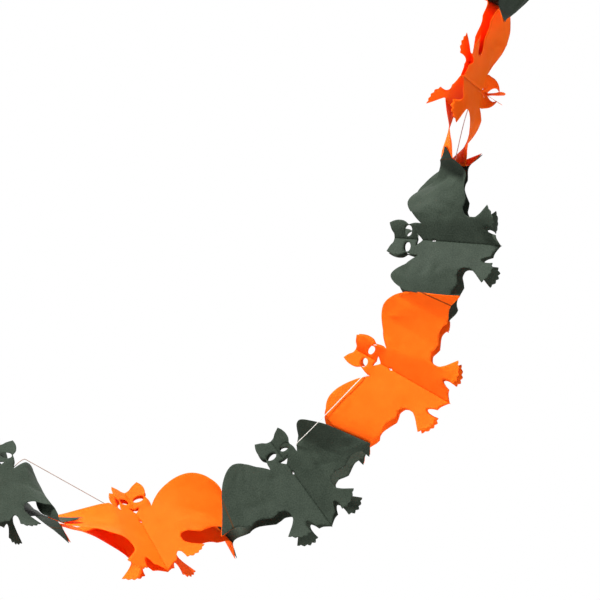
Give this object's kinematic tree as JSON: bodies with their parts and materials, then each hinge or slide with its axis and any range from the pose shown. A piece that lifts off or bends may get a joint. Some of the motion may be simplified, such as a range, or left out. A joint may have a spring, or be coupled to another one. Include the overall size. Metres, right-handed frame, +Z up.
{
  "type": "paper garland",
  "caption": "Long hanging garland of folded paper bats in black and orange, strung on a thread with a loop at each end",
  "frame": {"origin": "Centre of the top hanging loop, the mount named top_loop.", "axes": "+X to the right of the picture, +Y away from the viewer, +Z up. The garland hangs in a curve from the top loop down and to the left loop."},
  "size_m": [0.7145, 0.1286, 0.7774],
  "materials": {
    "black_paper": "matt thin paper, greyish green sheen where lit",
    "orange_paper": "matt thin paper, slightly translucent",
    "white_thread": "twisted cotton"
  },
  "bodies": {
    "root": {"black_bat_1_upper_sheet": "black_paper", "black_bat_1_lower_sheet": "black_paper", "orange_bat_2_upper_sheet": "orange_paper", "orange_bat_2_lower_sheet": "orange_paper", "black_bat_3_upper_sheet": "black_paper", "black_bat_3_lower_sheet": "black_paper", "orange_bat_4_upper_sheet": "orange_paper", "orange_bat_4_lower_sheet": "orange_paper", "black_bat_5_upper_sheet": "black_paper", "black_bat_5_lower_sheet": "black_paper", "orange_bat_6_upper_sheet": "orange_paper", "orange_bat_6_lower_sheet": "orange_paper", "black_bat_7_upper_sheet": "black_paper", "black_bat_7_lower_sheet": "black_paper", "thread": "white_thread"}
  },
  "joints": []
}
